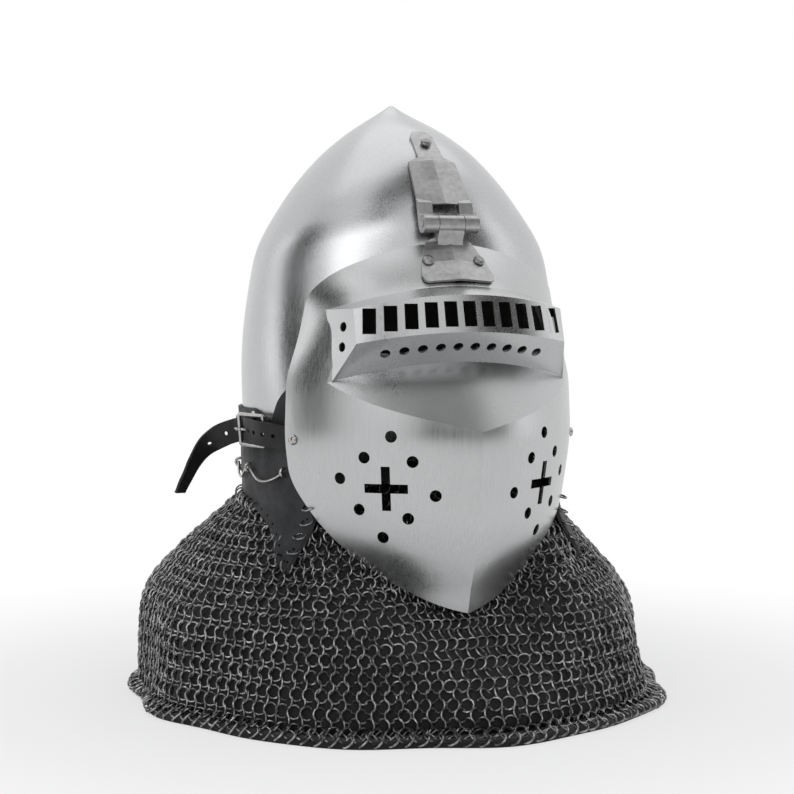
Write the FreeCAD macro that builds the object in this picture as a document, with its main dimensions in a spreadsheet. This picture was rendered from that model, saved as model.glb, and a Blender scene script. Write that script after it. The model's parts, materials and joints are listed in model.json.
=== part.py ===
import FreeCAD, Part
import Sketcher
import os
import math
from FreeCAD import Vector, Placement, Rotation

# Pointed bascinet with a brow-hinged visor, leather collar and mail aventail.
# The front faces -Y, the wearer's right side is -X, +Z is up and the mail rests on z = 0.
# Most outlines are written as (forward, depth): forward from the apex axis, depth below the apex.

doc = FreeCAD.newDocument("helm")

# sizes
SIZES = [
    ("total_height", 430, "table to apex"),
    ("apex_back", 12.5, "apex axis behind the middle of the base"),
    ("skull_wall", 1.6, "skull plate"),
    ("visor_wall", 1.6, "visor plate"),
    ("box_wall", 1.5, "sight box plate"),
    ("opening_forward", 87, "face opening edge, forward of the apex axis"),
    ("rim_depth", 272, "skull rim below the apex"),
    ("liner_thick", 8, "padded lining"),
    ("hinge_forward", 108, "hinge axis forward"),
    ("hinge_depth", 91, "hinge axis depth"),
    ("barrel_dia", 12.5, "hinge barrel"),
    ("pin_dia", 5, "hinge pin"),
    ("pin_length", 41.6, "hinge pin"),
    ("knuckle_half", 9.4, "half length of the middle knuckle"),
    ("barrel_half", 20.4, "half length of the whole barrel"),
    ("leaf_thick", 2, "hinge leaves"),
    ("rivet_dia", 8, "hinge rivet heads"),
    ("slot_count", 11, "sight slots"),
    ("slot_pitch", 13.6, "sight slots"),
    ("slot_width", 9.1, "sight slots"),
    ("slot_height", 17, "sight slots"),
    ("under_count", 10, "holes under the sights"),
    ("under_pitch", 12.44, "holes under the sights"),
    ("under_dia", 7, "holes under the sights"),
    ("cross_span", 30, "breath cross"),
    ("cross_arm", 6.2, "breath cross"),
    ("breath_dia", 8, "breath holes"),
    ("collar_thick", 2.5, "leather collar"),
    ("collar_gap", 0.75, "collar to skull"),
    ("staple_count", 11, "lacing staples"),
    ("staple_height", 168, "lacing staples above the table"),
    ("wire_dia", 1.8, "lacing wire"),
    ("mail_thick", 3.2, "mail shell"),
    ("hem_radius", 194, "mail hem on the table"),
    ("hem_thick", 5, "mail hem on the table"),
    ("strap_width", 17, "straps"),
    ("strap_thick", 1.8, "holed strap"),
    ("chape_thick", 1.6, "buckle strap"),
    ("chape_width", 15.5, "buckle strap"),
    ("bar_dia", 2.6, "buckle frame bar"),
    ("frame_length", 31, "buckle frame between bar centres"),
    ("frame_width", 21.4, "buckle frame between rail centres"),
    ("prong_dia", 2.2, "buckle prong"),
]
sheet = doc.addObject("Spreadsheet::Sheet", "Sizes")
for row, (name, value, note) in enumerate(SIZES, start=1):
    sheet.set("A%d" % row, name)
    sheet.set("B%d" % row, str(value))
    sheet.set("C%d" % row, note)
    sheet.setAlias("B%d" % row, name)
doc.recompute()


def size(name):
    return float(sheet.get(name))


H = size("total_height")
BACK = size("apex_back")
WALL = size("skull_wall")
VWALL = size("visor_wall")


# helpers
def at(x, forward, depth):
    """Point from lateral, forward and depth values."""
    return Vector(x, BACK - forward, H - depth)


def ahead(x, forward, z=0):
    """Direction from lateral and forward parts."""
    return Vector(x, -forward, z)


def blend(rows, q):
    """Smooth values between rows that start with their own station."""
    n = len(rows)
    q = max(rows[0][0], min(rows[-1][0], q))
    i = 0
    while i < n - 2 and q > rows[i + 1][0]:
        i += 1

    def slope(j, k):
        if j == 0 or j == n - 1:
            a, b = (0, 1) if j == 0 else (n - 2, n - 1)
            return (rows[b][k] - rows[a][k]) / (rows[b][0] - rows[a][0])
        left = (rows[j][k] - rows[j - 1][k]) / (rows[j][0] - rows[j - 1][0])
        right = (rows[j + 1][k] - rows[j][k]) / (rows[j + 1][0] - rows[j][0])
        if left * right <= 0:
            return 0.0
        return 2 * left * right / (left + right)

    span = rows[i + 1][0] - rows[i][0]
    u = (q - rows[i][0]) / span
    out = []
    for k in range(1, len(rows[0])):
        a, b = rows[i][k], rows[i + 1][k]
        ma, mb = slope(i, k) * span, slope(i + 1, k) * span
        out.append(
            a * (2 * u**3 - 3 * u**2 + 1)
            + ma * (u**3 - 2 * u**2 + u)
            + b * (3 * u**2 - 2 * u**3)
            + mb * (u**3 - u**2)
        )
    return out


def ring(points):
    """Closed smooth wire through points."""
    curve = Part.BSplineCurve()
    steps = [float(i) for i in range(len(points) + 1)]
    curve.interpolate(Points=points, PeriodicFlag=True, Parameters=steps)
    return Part.Wire([curve.toShape()])


def curve_edge(points):
    curve = Part.BSplineCurve()
    curve.interpolate(points)
    return curve.toShape()


def loft(wires, ruled=False):
    return Part.makeLoft(wires, True, ruled)


def side_prism(edges, half):
    """Solid from a closed side-view outline, from -half to +half in X."""
    face = Part.Face(Part.Wire(edges))
    face.translate(Vector(-half, 0, 0))
    return face.extrude(Vector(2 * half, 0, 0))


def side_line(points):
    pts = [at(0, f, d) for f, d in points]
    return [Part.makeLine(a, b) for a, b in zip(pts, pts[1:])]


def side_curve(points):
    return [curve_edge([at(0, f, d) for f, d in points])]


def turned(outline, base, axis):
    """Solid of revolution: (radius, height) outline about an axis."""
    pts = [Vector(r, 0, h) for r, h in outline]
    pts.append(pts[0])
    solid = Part.Face(Part.makePolygon(pts)).revolve(Vector(0, 0, 0), Vector(0, 0, 1), 360)
    solid = Part.Solid(solid.Shells[0]) if solid.ShapeType != "Solid" else solid
    solid.Placement = Placement(base, Rotation(Vector(0, 0, 1), axis))
    return solid


def one_solid(shape):
    """The largest solid, without the crumbs a cut leaves."""
    return sorted(shape.Solids, key=lambda s: s.Volume)[-1]


def add(label, shape):
    piece = doc.addObject("Part::Feature", label)
    piece.Label = label
    piece.Shape = shape
    piece.Placement = Placement()
    return piece


# skull
# depth, widest line forward, half width, front reach, rear reach
SKULL = [
    (0.0, 0.0, 1.0, 1.0, 1.0),
    (3.5, 0.5, 6.2, 6.2, 6.2),
    (8.0, 1.5, 13.5, 14.0, 13.5),
    (20.0, 6.0, 33.0, 36.0, 34.0),
    (36.0, 10.0, 53.4, 56.0, 58.7),
    (57.0, 14.0, 73.5, 68.0, 79.0),
    (80.0, 18.0, 90.3, 75.5, 97.0),
    (106.0, 22.5, 105.0, 79.7, 115.0),
    (125.0, 22.5, 109.5, 85.5, 121.0),
    (146.0, 22.0, 112.5, 91.0, 126.0),
    (183.0, 22.0, 115.9, 101.0, 130.0),
    (215.0, 21.0, 115.4, 110.0, 129.0),
    (246.0, 20.0, 113.3, 114.0, 125.0),
    (272.0, 19.0, 112.3, 115.0, 123.0),
]
# the same section values for the flared skirt of the collar
FLARE = [
    (288.0, 19.0, 112.8, 114.5, 126.0),
    (308.0, 19.0, 121.5, 117.0, 135.0),
    (332.0, 19.0, 132.5, 118.5, 146.0),
]
COLLAR_ROWS = SKULL[-4:] + FLARE


def plan_point(row, angle, grow=0.0):
    """Point of a section; the angle runs from the front (0) to the left (90)."""
    mid, wide, front, rear = row
    reach = front if math.cos(angle) > 0 else rear
    return (wide + grow) * math.sin(angle), mid + (reach + grow) * math.cos(angle)


def section(row, depth, grow=0.0, count=28):
    pts = []
    for i in range(count):
        x, f = plan_point(row, 2 * math.pi * i / count, grow)
        pts.append(at(x, f, depth))
    return ring(pts)


def skull_grow(depth, t):
    """Level offset that gives a wall thickness on a sloping section."""
    step = 2.0
    lower = blend(SKULL, depth + step)[1]
    upper = blend(SKULL, max(depth - step, 0))[1]
    slope = (lower - upper) / (step + min(step, depth))
    return t * math.sqrt(1 + slope * slope)


def skull_front(x, depth):
    mid, wide, front, rear = blend(SKULL, depth)
    return mid + front * math.sqrt(max(0.0, 1 - (x / wide) ** 2))


rim = size("rim_depth")
DEPTHS = [0, 3.5, 8, 14, 20, 28, 36, 46, 57, 68, 80, 93, 106, 125, 146, 165, 183, 215, 246, rim]
skull_out = loft([section(blend(SKULL, d), d) for d in DEPTHS])
INNER = [4.5] + DEPTHS[2:-1] + [rim + 4]
skull_in = loft(
    [section(blend(SKULL, min(d, rim)), d, -skull_grow(min(d, rim), WALL)) for d in INNER]
)
edge = size("opening_forward")
opening = side_prism(
    side_line([(edge, 300), (edge, 160)])
    + side_curve([(edge, 160), (edge + 2, 142), (94, 129), (104, 124), (130, 122)])
    + side_line([(130, 122), (180, 122), (180, 300), (edge, 300)]),
    150,
)
skull_shape = skull_out.cut(skull_in).cut(opening)

# visor faces
# depth, arc radius, arc centre across the middle, arc centre forward
VISOR = [
    (96.0, 104.5, 0.0, -4.0),
    (104.5, 107.0, 0.0, -2.0),
    (112.0, 112.4, 0.0, -1.2),
    (125.0, 114.5, 0.0, 7.5),
    (140.0, 104.0, 0.0, 31.5),
    (156.0, 100.0, 0.0, 50.0),
    (176.0, 107.0, 0.0, 43.0),
    (197.0, 145.0, 25.0, 18.0),
    (215.0, 145.0, 25.0, 20.5),
    (233.0, 145.0, 25.0, 21.7),
    (252.0, 145.0, 26.0, 20.6),
    (270.0, 145.0, 28.0, 19.0),
    (300.0, 145.0, 34.0, 16.5),
    (327.0, 145.0, 46.0, 11.8),
    (345.0, 145.0, 50.0, 7.1),
    (364.0, 145.0, 52.0, 1.6),
]


def visor_forward(x, depth, grow=0.0):
    radius, across, mid = blend(VISOR, depth)
    return mid + math.sqrt(max(0.0, (radius + grow) ** 2 - (abs(x) + across) ** 2))


def visor_section(depth, grow):
    """Two arcs meeting at the middle ridge, closed by a line behind."""
    radius, across, mid = blend(VISOR, depth)
    radius += grow
    start = math.asin(across / radius)
    finish = math.acos((58 - mid) / radius)
    halves = []
    for side in (1, -1):
        pts = []
        for k in range(3):
            a = start + (finish - start) * k / 2.0
            pts.append(at(side * (radius * math.sin(a) - across), mid + radius * math.cos(a), depth))
        halves.append(pts)
    right = Part.Arc(*halves[0]).toShape()
    left = Part.Arc(*reversed(halves[1])).toShape()
    back = Part.makeLine(halves[0][2], halves[1][2])
    return Part.Wire([left, right, back])


def brow_factor(depth):
    return 1.25 if depth < 150 else 1.04 if depth < 300 else 1.08


visor_depths = [row[0] for row in VISOR]
bulk_out = loft([visor_section(d, 0) for d in visor_depths])
bulk_in = loft([visor_section(d, -VWALL * brow_factor(d)) for d in visor_depths])

# plan curve and height of the lower rear edge of the sight box
LEDGE_SLOPE = 1.267


def sag(x, radius=200.0):
    return radius - math.sqrt(radius * radius - x * x)


def ledge_forward(x):
    return 128.5 - sag(x)


def ledge_depth(x):
    return 185 + 0.0017 * x * x


def side_loft(stations, corners, ruled=False):
    """Loft of side-view polygons; corners(x) gives (forward, depth) pairs."""
    wires = []
    for x in stations:
        pts = [at(x, f, d) for f, d in corners(x)]
        wires.append(Part.makePolygon(pts + [pts[0]]))
    return loft(wires, ruled)


def notch_corners(t):
    def corners(x):
        f, d = ledge_forward(x), ledge_depth(x)
        drop = t * math.sqrt(1 + LEDGE_SLOPE**2)
        far = f + 70
        return [
            (f - t, 143 - t),
            (far, 143 - t),
            (far, d + LEDGE_SLOPE * 70 + drop),
            (f - t, d + drop - LEDGE_SLOPE * t),
        ]

    return corners


WIDE = [-98, -80, -60, -40, -20, 0, 20, 40, 60, 80, 98]
visor_out = bulk_out.cut(side_loft(WIDE, notch_corners(0)))
visor_in = bulk_in.cut(side_loft(WIDE, notch_corners(VWALL)))

trim = side_prism(
    side_curve(
        [(107, 102.4), (104.6, 104.3), (100.5, 111.5), (93.5, 121.5), (86, 131), (79.5, 139.5), (77, 149)]
    )
    + side_line([(77, 149), (77, 255)])
    + side_curve(
        [
            (77, 255),
            (79.5, 269),
            (86.7, 282),
            (94.7, 296),
            (103.6, 312),
            (112.3, 327),
            (123.5, 340),
            (134.6, 350.5),
            (143, 357),
        ]
    )
    + side_line([(143, 357), (220, 380), (220, 85), (107, 85), (107, 102.4)]),
    130,
)
window = Part.makeBox(154, 150, 31.5, at(-77, 210, 179))
window = window.fuse(Part.makeBox(116, 150, 37.5, at(-58, 210, 179)))
window = window.fuse(Part.makeBox(165, 150, 24, at(-82.5, 210, 179)))
visor_shape = visor_out.cut(visor_in).common(trim).cut(window)


def face_spot(side, x, depth):
    """Place on the visor face with its outward level direction."""
    radius, across, mid = blend(VISOR, depth)
    f = visor_forward(x, depth)
    normal = ahead(side * (x + across) / radius, (f - mid) / radius)
    return at(side * x, f, depth), normal


cutters = []
CROSS = (58.1, 268.8)
BREATHS = [
    (56.7, 233.6),
    (57.2, 302.3),
    (28.8, 273.2),
    (82.8, 262.7),
    (43.8, 250.3),
    (71.0, 248.0),
    (71.5, 283.5),
    (44.2, 288.8),
]
for side in (1, -1):
    for x, d in BREATHS:
        spot, normal = face_spot(side, x, d)
        start = spot - normal * 10
        cutters.append(Part.makeCylinder(size("breath_dia") / 2, 20, start, normal))
    spot, normal = face_spot(side, *CROSS)
    span, arm = size("cross_span"), size("cross_arm")
    for wide, tall in ((span, arm), (arm, span)):
        bar = Part.makeBox(wide, 24, tall, Vector(-wide / 2, -12, -tall / 2))
        turn = Rotation(Vector(0, -1, 0), normal)
        bar.Placement = Placement(spot, turn)
        cutters.append(bar)

# sight box


def box_corners(t):
    def corners(x):
        f_top = 140 - sag(x)
        d_top = 139.5 + 9.5 * (x / 77.0) ** 2
        f_low = 146.5 - sag(x)
        d_low = 164.5 + 7.5 * (x / 77.0) ** 2
        d_back = 134 + 0.0021 * x * x
        f_back = visor_forward(x, d_back) - 5
        rise = (d_top - d_back) / (f_top - f_back - 5)
        f_end, d_end = ledge_forward(x) - 4, ledge_depth(x) + 4.5
        return [
            (f_back - 4 * (t > 0), d_back - 5 * rise + 1.15 * t),
            (f_top - t, d_top + 1.25 * t),
            (f_low - 1.25 * t, d_low - 0.4 * t),
            (f_end - 0.75 * t - 3 * (t > 0), d_end - 0.7 * t + 3.3 * (t > 0)),
        ]

    return corners


def wedge(side, end, t, width):
    """End of the box: slants back to a thin edge against the visor."""
    outline = box_corners(t)(77)
    f_back, d_back = visor_forward(end, 150) - 5, 149.5 + 1.2 * t
    f_end, d_end = ledge_forward(end) - 4, ledge_depth(end) + 4.5 - 0.7 * t
    thin = [
        (f_back, d_back),
        (f_back + 5 + width, d_back),
        (ledge_forward(end) + width, ledge_depth(end) - 0.9 * t),
        (f_end, d_end),
    ]
    wires = []
    for x, pts in ((77, outline), (end, thin)):
        pts = [at(side * x, f, d) for f, d in pts]
        wires.append(Part.makePolygon(pts + [pts[0]]))
    return loft(wires, True)


bt = size("box_wall")
NARROW = [-77, -58, -38, -19, 0, 19, 38, 58, 77]
box_out = side_loft(NARROW, box_corners(0))
box_in = side_loft(NARROW, box_corners(bt))
for side in (1, -1):
    box_out = box_out.fuse(wedge(side, 86.5, 0, 1.2))
    box_in = box_in.fuse(wedge(side, 84.4, bt, 0.6))
box_shape = box_out.cut(box_in).cut(visor_out)

count = int(size("slot_count"))
for i in range(count):
    x = (i - (count - 1) / 2.0) * size("slot_pitch")
    w, h = size("slot_width"), size("slot_height")
    slot = Part.makeBox(w, 16, h, Vector(-w / 2, -8, -h / 2))
    turn = Rotation(Vector(0, 0, 1), math.degrees(math.asin(x / 200.0)))
    slot.Placement = Placement(at(x, 143 - sag(x), 152.2 + 0.00108 * x * x), turn)
    box_shape = box_shape.cut(slot)
count = int(size("under_count"))
for i in range(count):
    x = (i - (count - 1) / 2.0) * size("under_pitch")
    mid = at(x, 137.5 - sag(x), 174.2 + 0.00145 * x * x)
    normal = ahead(0.75 * x / 200.0, 0.75, -0.66)
    drill = Part.makeCylinder(size("under_dia") / 2, 12, mid - normal * 6, normal)
    box_shape = box_shape.cut(drill)
for side in (1, -1):
    for d in (161, 174.5):
        mid = at(side * 82, 117, d)
        normal = ahead(side * 0.93, 0.36)
        drill = Part.makeCylinder(3.3, 9, mid - normal * 5, normal)
        box_shape = box_shape.cut(drill)

# hinge
axle_f, axle_d = size("hinge_forward"), size("hinge_depth")
knuckle, barrel = size("knuckle_half"), size("barrel_half")
bore = size("pin_dia") + 0.1


def tube(x0, x1):
    out = Part.makeCylinder(size("barrel_dia") / 2, x1 - x0, at(x0, axle_f, axle_d), Vector(1, 0, 0))
    return out.cut(Part.makeCylinder(bore / 2, x1 - x0, at(x0, axle_f, axle_d), Vector(1, 0, 0)))


def profile_frame(front, depth):
    """Point and outward direction of a middle profile."""
    slope = (front(0, depth + 1) - front(0, depth - 1)) / 2.0
    length = math.sqrt(1 + slope * slope)
    return front(0, depth), 1 / length, -slope / length


def leaf(front, stations, gap):
    """Creased plate on a curved face: depth, half width, ridge and edge heights."""
    wires = []
    thick = size("leaf_thick")
    for d, w, ridge, side in stations:
        f, nf, nd = profile_frame(front, d)
        drop = (front(0, d) - front(w, d)) * nf
        pts = []
        for x, h in (
            (-w, side - drop),
            (0, ridge),
            (w, side - drop),
            (w, side - drop - thick),
            (0, ridge - thick),
            (-w, side - drop - thick),
        ):
            pts.append(at(x, f + nf * (h + gap), d + nd * (h + gap)))
        wires.append(Part.makePolygon(pts + [pts[0]]))
    return loft(wires, True)


crown_leaf = leaf(
    skull_front,
    [
        (25.5, 5.5, 2.6, 2.2),
        (28.5, 8.4, 2.7, 2.3),
        (44.5, 9.6, 3.2, 2.6),
        (47.5, 17.6, 3.8, 3.0),
        (62, 18.8, 4.8, 4.6),
        (72, 19.4, 7.0, 6.6),
        (80, 19.9, 9.4, 8.6),
    ],
    0.25,
)
for side in (1, -1):
    x0, x1 = (9.8, barrel) if side > 0 else (-barrel, -9.8)
    lug_outline = side_line(
        [(96.6, 73), (101.6, 76), (103.4, 84), (106, 86.5), (104, 92), (101.9, 92), (99.6, 84), (96.6, 73)]
    )
    lug = Part.Face(Part.Wire(lug_outline))
    lug.translate(Vector(x0, 0, 0))
    lug = lug.extrude(Vector(x1 - x0 - 0.4, 0, 0))
    clear = Part.makeCylinder(bore / 2, 60, at(-30, axle_f, axle_d), Vector(1, 0, 0))
    crown_leaf = crown_leaf.fuse(lug.fuse(tube(x0, x1)).cut(clear))

visor_leaf = leaf(
    visor_forward,
    [
        (101, 9.4, 3.4, 3.2),
        (104, 16.6, 3.4, 2.6),
        (118, 24, 3.2, 2.3),
        (126.5, 26.6, 3.2, 2.3),
        (129.5, 25.6, 3.2, 2.3),
        (130.8, 23.0, 3.2, 2.3),
    ],
    0.15,
)
neck_outline = side_line(
    [(103.2, 92), (113, 92), (112, 97.5), (110.2, 101), (109.6, 105.5), (105.6, 104), (103.6, 99), (103.2, 92)]
)
neck = Part.Face(Part.Wire(neck_outline))
neck.translate(Vector(-knuckle, 0, 0))
neck = neck.extrude(Vector(2 * knuckle, 0, 0))
clear = Part.makeCylinder(bore / 2, 60, at(-30, axle_f, axle_d), Vector(1, 0, 0))
visor_leaf = visor_leaf.fuse(neck.fuse(tube(-knuckle, knuckle)).cut(clear))


def rivet(base, axis, head, grip, shank, rise=2.1):
    """Faceted head outside, shank and flat clench inside."""
    r = head / 2.0
    return turned(
        [
            (0, -grip - 0.6),
            (shank + 1.1, -grip - 0.6),
            (shank + 1.1, -grip),
            (shank, -grip),
            (shank, 0),
            (r, 0),
            (r, 0.33 * rise),
            (r * 0.86, 0.7 * rise),
            (r * 0.5, rise),
            (0, rise),
        ],
        base,
        axis,
    )


f, nf, nd = profile_frame(skull_front, 34.6)
crown_axis = Vector(0, -nf, -nd)
crown_spot = at(0, f, 34.6) + crown_axis * 3.25
crown_rivet = rivet(crown_spot, crown_axis, size("rivet_dia"), 3.25 + WALL + 0.5, 1.9)
crown_drill = Part.makeCylinder(2.0, 16, crown_spot - crown_axis * 12, crown_axis)
skull_shape = skull_shape.cut(crown_drill)
crown_leaf = crown_leaf.cut(crown_drill)

hinge_rivets = []
for side in (1, -1):
    f, nf, nd = profile_frame(visor_forward, 118)
    axis = Vector(side * 0.12, -nf, -nd)
    axis.normalize()
    base = at(side * 18.6, visor_forward(18.6, 118), 118) + axis * 2.75
    hinge_rivets.append(rivet(base, axis, size("rivet_dia"), 2.75 + VWALL + 0.35, 1.9))
    drill = Part.makeCylinder(2.0, 16, base - axis * 12, axis)
    visor_leaf = visor_leaf.cut(drill)
    cutters.append(drill)

# visor studs
studs = []
stud_depth = H - 191.7
stud_spots = {}
nub_room = []
for side in (1, -1):
    x = 105.6
    spot, normal = face_spot(side, x, stud_depth)
    stud_spots[side] = (spot, normal)
    studs.append(
        turned(
            [
                (0, -5.5),
                (2.6, -5.5),
                (2.6, -4.95),
                (1.6, -4.95),
                (1.6, -2.6),
                (3.0, -2.6),
                (3.0, -2.0),
                (1.9, -2.0),
                (1.9, 0.25),
                (3.6, 0.25),
                (3.4, 1.0),
                (2.7, 1.9),
                (1.5, 2.5),
                (0, 2.7),
            ],
            spot,
            normal,
        )
    )
    cutters.append(Part.makeCylinder(1.95, 12, spot - normal * 6, normal))
    nub_room.append(Part.makeCylinder(3.4, 8, spot - normal * 12, normal))

for cutter in cutters:
    visor_shape = visor_shape.cut(cutter)
crown_leaf = crown_leaf.cut(skull_out)
visor_leaf = visor_leaf.cut(visor_out)

# leather collar
ct = size("collar_thick")
FACE = ct + size("collar_gap")
COLLAR_DEPTHS = [146, 165, 183, 215, 246, 272, 288, 308, 332]
collar_out = loft([section(blend(COLLAR_ROWS if d > 215 else SKULL, d), d, FACE) for d in COLLAR_DEPTHS])
collar_in = loft([section(blend(COLLAR_ROWS if d > 215 else SKULL, d), d, FACE - ct) for d in COLLAR_DEPTHS])


def level(points):
    return [(f, H - z) for f, z in points]


LOBE = level([(90, 101), (84, 104), (76, 113), (66, 122.5), (53, 131), (39, 137), (19, 143), (-25, 148), (-118, 152)])
HORN = level([(46, 201.5), (52, 200), (57, 205), (63, 216), (71, 225), (80, 232), (86, 236)])
collar_trim = side_prism(
    side_line([LOBE[0], (edge + 1.5, 235), (edge, H - 236), (86, H - 236)])
    + side_curve(list(reversed(HORN)))
    + side_curve(level([(46, 201.5), (40, 206.5), (32, 209.5), (15, 210), (-40, 209.5), (-125, 209)]))
    + side_line(level([(-125, 209), (-125, 152), (-118, 152)]))
    + side_curve(list(reversed(LOBE))),
    160,
)
collar_shape = collar_out.cut(collar_in).common(collar_trim)
for room in nub_room:
    collar_shape = collar_shape.cut(room)


def collar_spot(forward, z, side, out=0.0):
    """Place on the collar's outer face with its outward level direction."""
    d = H - z
    rows = COLLAR_ROWS if d > 215 else SKULL
    mid, wide, front, rear = blend(rows, d)
    reach = (front if forward > mid else rear) + FACE
    wide = wide + FACE
    x = wide * math.sqrt(max(0.0, 1 - ((forward - mid) / reach) ** 2))
    nx, nf = x / wide**2, (forward - mid) / reach**2
    scale = math.hypot(nx, nf)
    normal = ahead(side * nx / scale, nf / scale)
    return at(side * x, forward, d) + normal * out, normal


def collar_angle_spot(angle, z, out=0.0):
    d = H - z
    rows = COLLAR_ROWS if d > 215 else SKULL
    row = blend(rows, d)
    x, f = plan_point(row, angle, FACE)
    return collar_spot(f, z, 1 if x >= 0 else -1, out)


def collar_frame(forward, z, side, out=0.0):
    """Place on the collar with its true outward direction and its upward lean."""
    spot, level_out = collar_spot(forward, z, side)
    mid, wide, front, rear = blend(COLLAR_ROWS if H - z > 215 else SKULL, H - z)
    reach = (front if forward > mid else rear) + FACE
    angle = math.acos(max(-1.0, min(1.0, (forward - mid) / reach)))
    ends = []
    for height in (z + 8, z - 8):
        row = blend(COLLAR_ROWS if H - height > 215 else SKULL, H - height)
        x, f = plan_point(row, angle, FACE)
        ends.append(at(side * x, f, H - height))
    lean = (ends[0] - ends[1]).normalize()
    normal = (level_out - lean * level_out.dot(lean)).normalize()
    return spot + normal * out, normal, lean


# lacing staples, evenly spaced by arc length round the back
staple_z = size("staple_height")
samples = [math.radians(a) for a in range(40, 321)]
trace = [collar_angle_spot(a, staple_z)[0] for a in samples]
front_limit = [i for i, p in enumerate(trace) if BACK - p.y <= 68]
first, last = front_limit[0], front_limit[-1]
lengths = [0.0]
for i in range(first, last):
    lengths.append(lengths[-1] + (trace[i + 1] - trace[i]).Length)
staples = []
wire_points = []
count = int(size("staple_count"))
for k in range(count):
    want = lengths[-1] * k / (count - 1)
    i = min(range(len(lengths)), key=lambda j: abs(lengths[j] - want))
    a = samples[first + i]
    spot, normal = collar_angle_spot(a, staple_z)
    legs = []
    for up in (2.7, -2.7):
        legs.append(Part.makeCylinder(1.05, ct + 1.6, Vector(0, -ct, up), Vector(0, 1, 0)))
    arch = Part.makeTorus(2.7, 1.05, Vector(0, 1.6, 0), Vector(1, 0, 0), 0, 360, 360)
    arch = arch.common(Part.makeBox(10, 10, 10, Vector(-5, 1.6, -5)))
    shape = arch.fuse(legs[0]).fuse(legs[1])
    turn = Rotation(normal.cross(Vector(0, 0, 1)), normal, Vector(0, 0, 1), "YZX")
    shape.Placement = Placement(spot, turn)
    staples.append(shape)
    for up in (2.7, -2.7):
        base = spot + Vector(0, 0, up) - normal * 6
        collar_shape = collar_shape.cut(Part.makeCylinder(1.15, 12, base, normal))
    wire_points.append((a, spot + normal * 2.15, normal))

lace = []
for k, (a, p, n) in enumerate(wire_points):
    lace.append(p)
    if k < count - 1:
        b = wire_points[k + 1][0]
        for u, low in ((0.3, 6.2), (0.7, 6.4)):
            spot, normal = collar_angle_spot(a + (b - a) * u, staple_z - low, 2.4)
            lace.append(spot)
lace_curve = Part.BSplineCurve()
lace_curve.interpolate(lace)
lace_edge = lace_curve.toShape()
tangent = lace_curve.tangent(lace_curve.FirstParameter)[0]
disc = Part.Wire(Part.makeCircle(size("wire_dia") / 2, lace[0], tangent))
lace_shape = Part.Wire(lace_edge).makePipeShell([disc], True, True)

# two rows of small holes for the mail rings
for side in (1, -1):
    for f, z in ((86, 108.5), (80.5, 112), (74.5, 118.5), (67.5, 125.5), (59, 131.5), (50, 136.5), (41, 140)):
        spot, normal = collar_spot(f, z, side)
        collar_shape = collar_shape.cut(Part.makeCylinder(0.9, 12, spot - normal * 6, normal))
    for z in (117, 127, 137, 147):
        spot, normal = collar_spot(86.3, z, side)
        collar_shape = collar_shape.cut(Part.makeCylinder(0.9, 12, spot - normal * 6, normal))

collar_rivets = []
pockets = []
for side in (1, -1):
    for f, z in ((34, 206.3), (-45, 205.5)):
        spot, normal, lean = collar_frame(f, z, side, 0.1)
        collar_rivets.append(rivet(spot, normal, 5.6, FACE + WALL + 0.25, 1.5, 1.6))
        drill = Part.makeCylinder(1.55, 14, spot - normal * 8, normal)
        collar_shape = collar_shape.cut(drill)
        skull_shape = skull_shape.cut(drill)
        pockets.append(Part.makeCylinder(4.2, 5, spot - normal * 8.5, normal))

# lining
lt = size("liner_thick")
LINER = DEPTHS[6:]


def liner_loft(gap):
    return loft([section(blend(SKULL, d), d, -skull_grow(d, WALL + gap)) for d in LINER])


liner_shape = liner_loft(1.0).cut(liner_loft(1.0 + lt))
liner_shape = liner_shape.common(Part.makeBox(300, 300, 184, Vector(-150, -150, H - 236)))
liner_front = side_prism(
    side_line([(80, 300), (80, 165)])
    + side_curve([(80, 165), (81, 145), (86, 127), (97, 112), (115, 106)])
    + side_line([(115, 106), (180, 106), (180, 300), (80, 300)]),
    150,
)
liner_shape = liner_shape.cut(liner_front)
for pocket in pockets:
    liner_shape = liner_shape.cut(pocket)

# straps
sw = size("strap_width")
st = size("strap_thick")
rear_bar = Vector(-124.7, BACK - 24, 0)
front_bar = Vector(-116.8, BACK - 54, 0)
BUCKLE_Z = 195.8


def band(stations, width, thick):
    """Flat strap through centre points with their own width directions."""
    wires = []
    n = len(stations)
    for i, (p, w) in enumerate(stations):
        before = stations[max(i - 1, 0)][0]
        after = stations[min(i + 1, n - 1)][0]
        run = (after - before).normalize()
        w = (w - run * w.dot(run)).normalize()
        normal = run.cross(w).normalize()
        a, b = w * (width / 2.0), normal * (thick / 2.0)
        pts = [p - a - b, p + a - b, p + a + b, p - a + b]
        wires.append(Part.makePolygon(pts + [pts[0]]))
    return loft(wires)


UP = Vector(0, 0, 1)
# lean of the straps and the buckle on the collar
LEAN = collar_frame(39, 195.5, -1)[2]


def inner_run(side):
    """Strap stations that follow the visor on its inside, past the stud."""
    run = []
    for x in (101.5, 105.6, 109.2):
        spot, normal = face_spot(side, x, stud_depth)
        run.append((spot - normal * 3.7, UP))
    return run


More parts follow.
